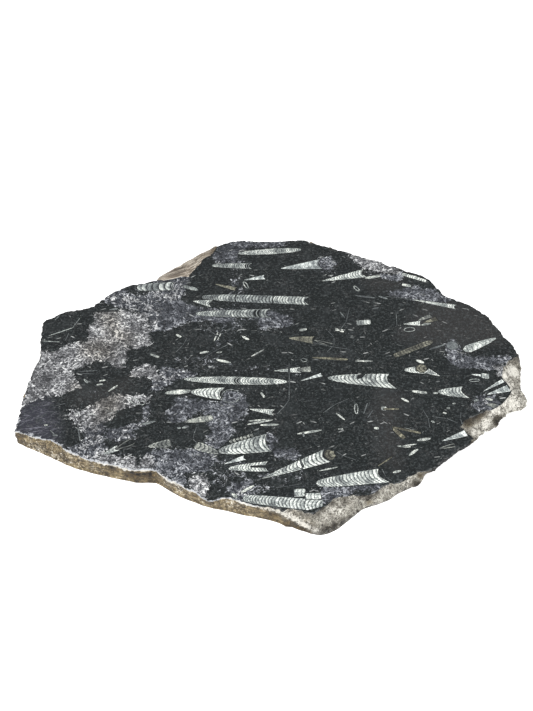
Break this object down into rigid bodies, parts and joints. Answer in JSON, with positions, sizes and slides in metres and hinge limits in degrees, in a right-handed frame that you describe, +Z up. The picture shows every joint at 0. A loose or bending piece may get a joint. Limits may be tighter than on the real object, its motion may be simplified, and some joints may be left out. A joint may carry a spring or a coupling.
{
  "type": "polished orthoceras fossil slab",
  "caption": "Flat slab of black limestone with a broken rim, polished on top and sawn flat below, full of straight conical fossil shells.",
  "frame": {"origin": "middle of the slab's bounding box, on the surface that it lies on", "axes": "+X along the slab's longest side, the way most shells lie; +Y from its front wall to its back rim; +Z up, out of the polished face"},
  "size_m": [0.597, 0.4588, 0.022],
  "materials": {
    "black_limestone": "polished face, rough broken rim"
  },
  "bodies": {
    "root": {"fossil_slab": "black_limestone"}
  },
  "joints": []
}
